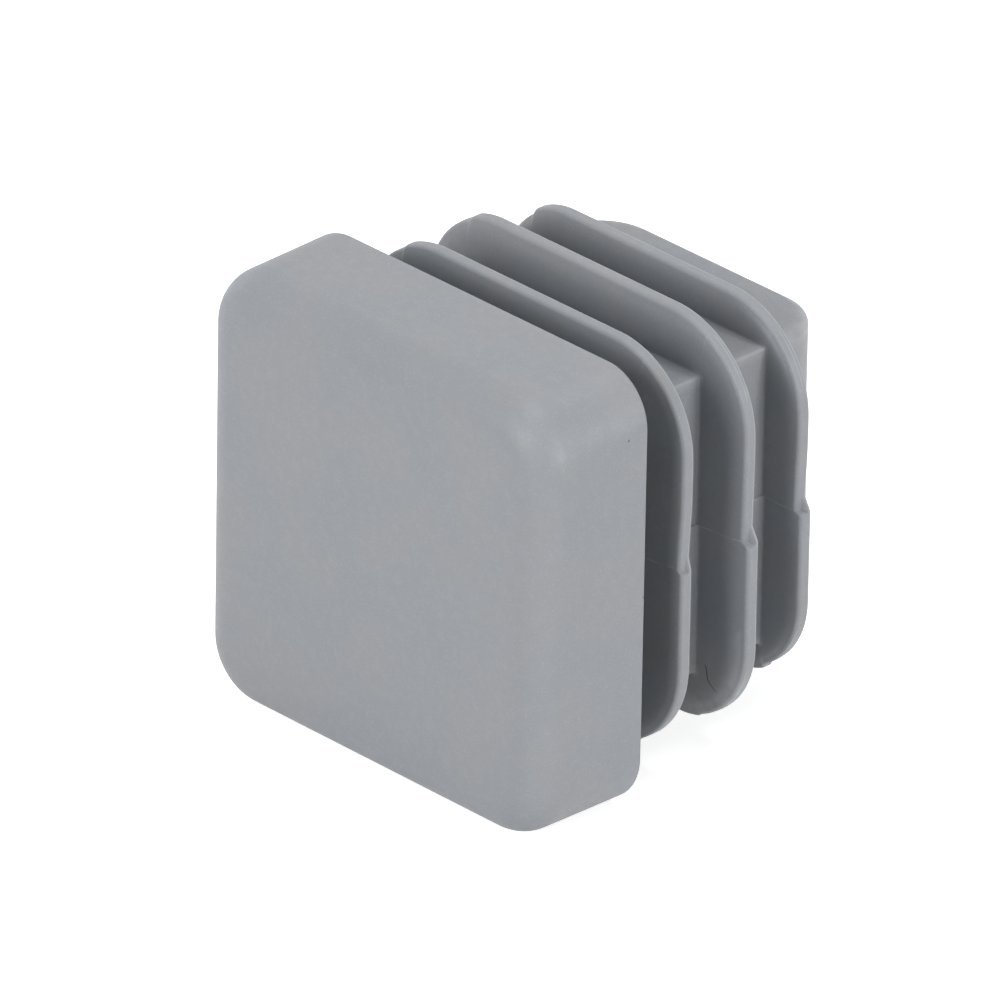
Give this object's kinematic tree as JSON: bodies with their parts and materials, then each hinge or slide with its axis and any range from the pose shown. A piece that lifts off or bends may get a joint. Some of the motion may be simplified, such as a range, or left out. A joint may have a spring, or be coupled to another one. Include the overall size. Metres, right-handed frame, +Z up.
{
  "type": "profile end cap",
  "caption": "Square ribbed end cap: a thick rounded head on a hollow finned plug that presses into the end of a square tube.",
  "frame": {"origin": "centre of the head's underside, the face that seats on the tube's end", "axes": "+Y along the plug's axis into the tube, -Y out of the head's front face; +Z is up with the cap lying on its side, and is the way the mould opens; +X is across"},
  "size_m": [0.02, 0.0199, 0.02],
  "materials": {
    "grey_plastic": "fine matt moulded surface"
  },
  "bodies": {
    "root": {"end_cap": "grey_plastic"}
  },
  "joints": []
}
